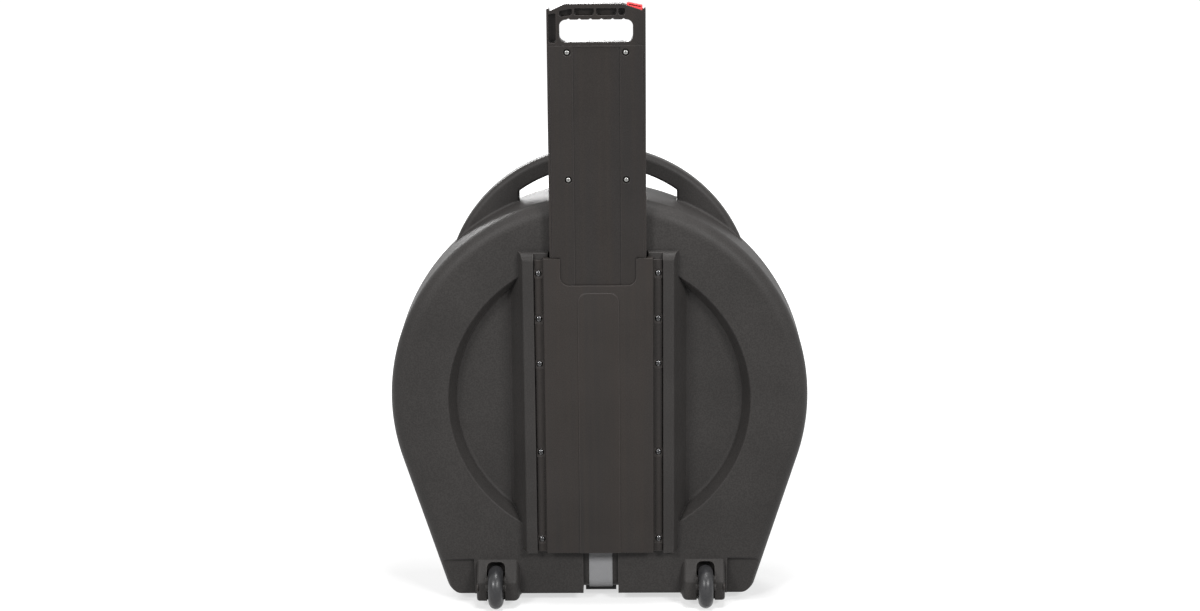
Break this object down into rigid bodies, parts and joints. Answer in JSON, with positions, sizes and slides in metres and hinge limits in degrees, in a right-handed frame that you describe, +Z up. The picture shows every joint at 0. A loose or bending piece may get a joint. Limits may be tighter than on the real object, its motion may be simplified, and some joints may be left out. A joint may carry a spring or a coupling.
{
  "type": "rolling cymbal case",
  "caption": "Hard round case for cymbals, with a pull handle that slides and latches, wheels, a carry arch, strap buckles and a clamped centre post inside.",
  "frame": {"origin": "on the floor, under the middle of the box around the standing case", "axes": "+Z up; the back with the pull handle and the wheels faces -Y; the lid faces +Y"},
  "size_m": [0.667, 0.205, 0.9834],
  "materials": {
    "shell_plastic": "moulded black, fine grain",
    "housing_plastic": "moulded black, satin",
    "handle_plastic": "moulded black, satin",
    "red_plastic": "moulded red",
    "black_steel": "black finished screws",
    "bright_steel": "zinc plated",
    "tyre_rubber": "dark rubber",
    "webbing": "grey woven webbing",
    "buckle_plastic": "moulded black",
    "plywood": "raw plywood",
    "felt": "black felt",
    "foam": "dark foam with a cloth face"
  },
  "bodies": {
    "case": {"base_shell": "shell_plastic", "carry_arch": "shell_plastic", "housing_cover": "housing_plastic", "guide_tray": "housing_plastic", "housing_screw_01": "black_steel", "housing_screw_02": "black_steel", "housing_screw_03": "black_steel", "housing_screw_04": "black_steel", "housing_screw_05": "black_steel", "housing_screw_06": "black_steel", "housing_screw_07": "black_steel", "housing_screw_08": "black_steel", "housing_screw_09": "black_steel", "housing_screw_10": "black_steel", "axle_left": "bright_steel", "axle_right": "bright_steel", "axle_cap_left": "housing_plastic", "axle_cap_right": "housing_plastic", "foot_left": "tyre_rubber", "foot_right": "tyre_rubber", "foot_screw_left": "black_steel", "foot_screw_right": "black_steel", "strap_base": "webbing", "buckle_socket_top": "buckle_plastic", "buckle_socket_bottom": "buckle_plastic", "post_board": "plywood", "centre_post": "bright_steel", "flange_screw_1": "bright_steel", "flange_screw_2": "bright_steel", "flange_screw_3": "bright_steel", "lower_felt": "felt", "base_pad": "foam", "wall_pad_left": "foam", "wall_pad_right": "foam"},
    "lid": {"lid_shell": "shell_plastic", "lid_pad": "foam", "strap_lid": "webbing", "buckle_tongue_top": "buckle_plastic", "buckle_tongue_bottom": "buckle_plastic"},
    "pull_handle": {"handle_body": "handle_plastic", "handle_cover": "handle_plastic", "handle_screw_1": "bright_steel", "handle_screw_2": "bright_steel", "handle_screw_3": "bright_steel", "handle_screw_4": "bright_steel", "return_spring": "bright_steel"},
    "release": {"release_button": "red_plastic", "push_rod": "bright_steel"},
    "bolt": {"latch_bolt": "bright_steel"},
    "wheel_left": {"tyre_left": "tyre_rubber", "hub_left": "handle_plastic"},
    "wheel_right": {"tyre_right": "tyre_rubber", "hub_right": "handle_plastic"},
    "catch_top": {"buckle_catch_top": "buckle_plastic"},
    "catch_bottom": {"buckle_catch_bottom": "buckle_plastic"},
    "clamp": {"upper_felt": "felt", "clamp_washer": "bright_steel"},
    "wing_nut": {"wing_nut": "bright_steel"}
  },
  "joints": [
    {"name": "lid_slide", "type": "slide", "parent": "case", "child": "lid", "axis": [0, 1, 0], "range_m": [0, 0.25]},
    {"name": "handle_slide", "type": "slide", "parent": "case", "child": "pull_handle", "axis": [0, 0, 1], "range_m": [-0.378, 0]},
    {"name": "release_press", "type": "slide", "parent": "pull_handle", "child": "release", "axis": [0, 0, -1], "range_m": [0, 0.004], "stiffness_N_per_m": 600, "springref_m": -0.005, "deforming": ["return_spring"]},
    {"name": "bolt_slide", "type": "slide", "parent": "pull_handle", "child": "bolt", "axis": [-1, 0, 0], "range_m": [0, 0.004]},
    {"name": "wheel_left_spin", "type": "hinge", "parent": "case", "child": "wheel_left", "pos_m": [-0.17, -0.0675, 0.035], "axis": [1, 0, 0], "continuous": true},
    {"name": "wheel_right_spin", "type": "hinge", "parent": "case", "child": "wheel_right", "pos_m": [0.17, -0.0675, 0.035], "axis": [1, 0, 0], "continuous": true},
    {"name": "catch_top_press", "type": "slide", "parent": "case", "child": "catch_top", "axis": [0, 0, -1], "range_m": [0, 0.002], "stiffness_N_per_m": 900, "springref_m": -0.002},
    {"name": "catch_bottom_press", "type": "slide", "parent": "case", "child": "catch_bottom", "axis": [0, 0, 1], "range_m": [0, 0.002], "stiffness_N_per_m": 900, "springref_m": -0.002},
    {"name": "wing_nut_spin", "type": "hinge", "parent": "clamp", "child": "wing_nut", "pos_m": [0, 0.0577, 0.344], "axis": [0, -1, 0], "range_deg": [-3241, 16201]},
    {"name": "clamp_slide", "type": "slide", "parent": "case", "child": "clamp", "axis": [0, -1, 0], "range_m": [-0.01125, 0.05625]}
  ],
  "couplings": [
    {"joint": "bolt_slide", "follows": "release_press", "ratio": 1},
    {"joint": "wing_nut_spin", "follows": "clamp_slide", "rad_per_m": 5026.5}
  ]
}
